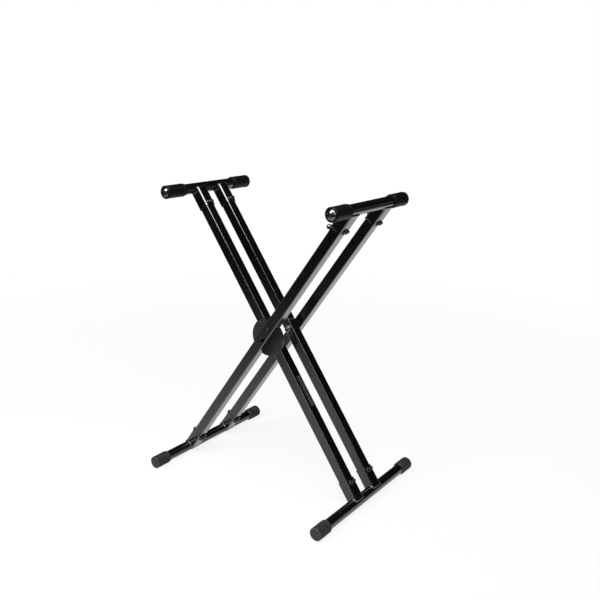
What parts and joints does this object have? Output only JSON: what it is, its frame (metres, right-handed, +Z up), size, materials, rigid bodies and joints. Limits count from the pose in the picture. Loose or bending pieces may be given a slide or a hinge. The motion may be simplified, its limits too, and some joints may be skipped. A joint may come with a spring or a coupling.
{
  "type": "keyboard stand",
  "caption": "Folding double X keyboard stand with square legs, round feet and arms, rubber end caps, a disc lock with a pin and cross-bolted sockets.",
  "frame": {"origin": "on the floor, midway between the four feet, under the pivot", "axes": "+X across the spread of the legs, +Y from front to rear along the pivot, +Z up"},
  "size_m": [0.6374, 0.4774, 0.8493],
  "materials": {
    "frame_paint": "semi-gloss black powder coat",
    "cap_rubber": "moulded dark rubber, satin",
    "black_hardware": "black zinc-plated steel",
    "bright_hardware": "bright zinc-plated steel",
    "disc_paint": "dark satin coat on steel discs",
    "plate_metal": "plain satin metal plate, no text"
  },
  "bodies": {
    "outer_frame": {"outer_leg_front": "frame_paint", "outer_leg_rear": "frame_paint", "outer_foot_bar": "frame_paint", "outer_foot_socket_front": "frame_paint", "outer_foot_bolt_front": "black_hardware", "outer_foot_nut_front": "black_hardware", "outer_foot_cap_front": "cap_rubber", "outer_foot_socket_rear": "frame_paint", "outer_foot_bolt_rear": "black_hardware", "outer_foot_nut_rear": "black_hardware", "outer_foot_cap_rear": "cap_rubber", "outer_arm_bar": "frame_paint", "outer_arm_socket_front": "frame_paint", "outer_arm_bolt_front": "black_hardware", "outer_arm_nut_front": "black_hardware", "outer_arm_cap_front": "cap_rubber", "outer_arm_socket_rear": "frame_paint", "outer_arm_bolt_rear": "black_hardware", "outer_arm_nut_rear": "black_hardware", "outer_arm_cap_rear": "cap_rubber", "outer_clutch_disc": "disc_paint", "outer_leg_ball_stud": "black_hardware", "front_pivot_bolt": "black_hardware", "front_pivot_nut": "bright_hardware", "rear_pivot_bolt": "black_hardware", "rear_pivot_nut": "bright_hardware", "rear_pivot_spacer": "black_hardware", "lock_pin_bush": "black_hardware"},
    "inner_frame": {"inner_leg_front": "frame_paint", "inner_leg_rear": "frame_paint", "inner_foot_bar": "frame_paint", "inner_foot_socket_front": "frame_paint", "inner_foot_bolt_front": "black_hardware", "inner_foot_nut_front": "black_hardware", "inner_foot_cap_front": "cap_rubber", "inner_foot_socket_rear": "frame_paint", "inner_foot_bolt_rear": "black_hardware", "inner_foot_nut_rear": "black_hardware", "inner_foot_cap_rear": "cap_rubber", "inner_arm_bar": "frame_paint", "inner_arm_socket_front": "frame_paint", "inner_arm_bolt_front": "black_hardware", "inner_arm_nut_front": "black_hardware", "inner_arm_cap_front": "cap_rubber", "inner_arm_socket_rear": "frame_paint", "inner_arm_bolt_rear": "black_hardware", "inner_arm_nut_rear": "black_hardware", "inner_arm_cap_rear": "cap_rubber", "inner_clutch_disc": "disc_paint", "inner_leg_plate": "plate_metal"},
    "lock": {"lock_pin": "black_hardware"}
  },
  "joints": [
    {"name": "fold", "type": "hinge", "parent": "outer_frame", "child": "inner_frame", "pos_m": [0, 0, 0.4389], "axis": [0, 1, 0], "range_deg": [-32, 64]},
    {"name": "lock_slide", "type": "slide", "parent": "outer_frame", "child": "lock", "axis": [0, 1, 0], "range_m": [0, 0.0029]}
  ]
}
